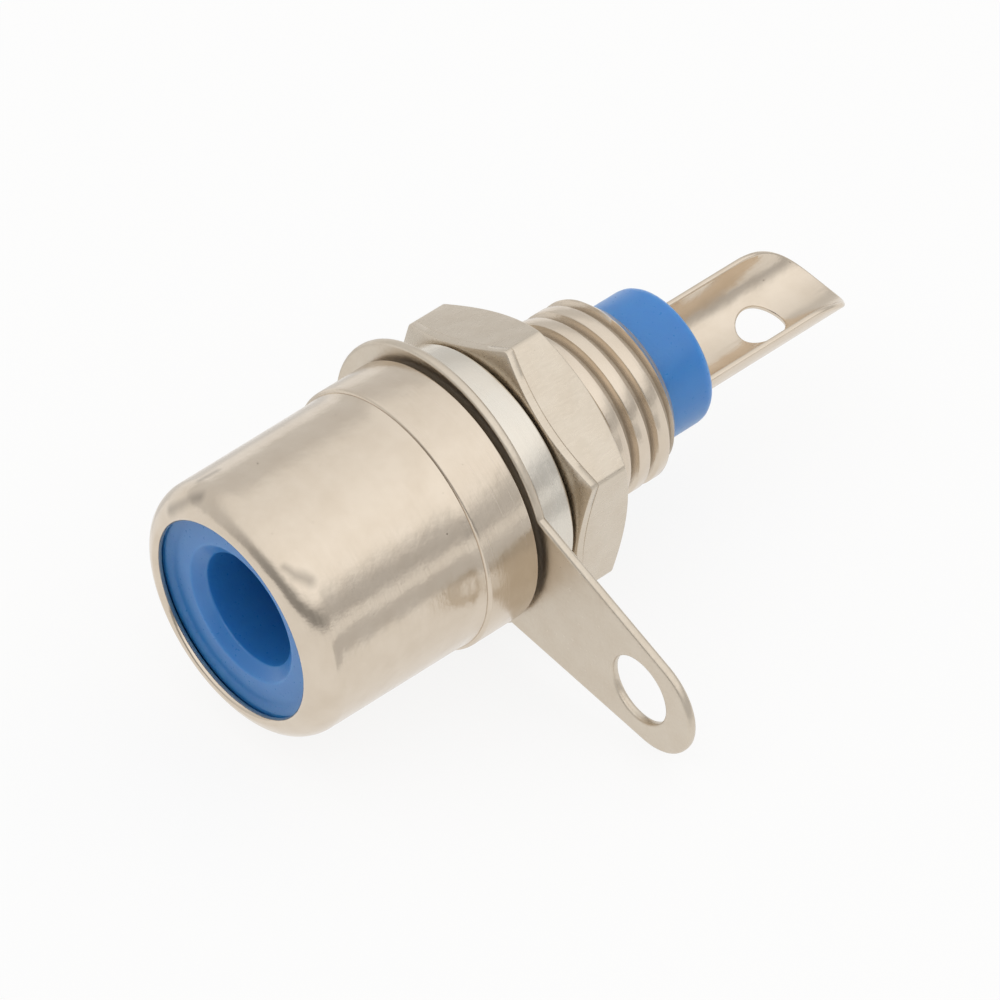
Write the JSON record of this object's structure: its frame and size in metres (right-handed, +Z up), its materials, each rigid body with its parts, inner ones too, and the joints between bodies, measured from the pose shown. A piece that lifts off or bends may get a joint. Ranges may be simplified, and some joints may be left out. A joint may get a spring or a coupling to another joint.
{
  "type": "phono socket",
  "caption": "Panel-mount phono socket: plated shell, recessed blue insulator with a pin hole, threaded shank with nut, washer and solder lug, and a half-round solder trough.",
  "frame": {"origin": "on the socket's axis, in the plane of the band's rear face, where the panel seats", "axes": "+Y along the socket's axis, from the plug's opening towards the solder tail; +Z up with the socket lying on its side, on the nut's lowest corner and the lug's tab"},
  "size_m": [0.015, 0.0232, 0.0091],
  "materials": {
    "shell_nickel": "drawn brass, bright nickel plate",
    "body_nickel": "turned brass, bright nickel plate",
    "insulator_blue": "moulded blue plastic",
    "contact_nickel": "rolled brass sheet, nickel plate",
    "lug_nickel": "stamped brass sheet, satin nickel plate",
    "washer_nickel": "plated washer, satin",
    "nut_nickel": "turned hexagon, nickel plate"
  },
  "bodies": {
    "base": {"shell": "shell_nickel", "body": "body_nickel", "insulator": "insulator_blue", "contact": "contact_nickel"},
    "washer": {"washer": "washer_nickel"},
    "nut": {"nut": "nut_nickel"},
    "lug": {"lug": "lug_nickel"}
  },
  "joints": [
    {"name": "stack_slide", "type": "slide", "parent": "base", "child": "washer", "axis": [0, 1, 0], "range_m": [-0.00018, 0.003]},
    {"name": "nut_turn", "type": "hinge", "parent": "washer", "child": "nut", "pos_m": [0, 0.0027, 0], "axis": [0, 1, 0], "range_deg": [-86.4, 1440]},
    {"name": "lug_turn", "type": "hinge", "parent": "washer", "child": "lug", "pos_m": [0, 0.00035, 0], "axis": [0, 1, 0], "continuous": true}
  ],
  "couplings": [
    {"joint": "nut_turn", "follows": "stack_slide", "rad_per_m": 8377.6}
  ]
}
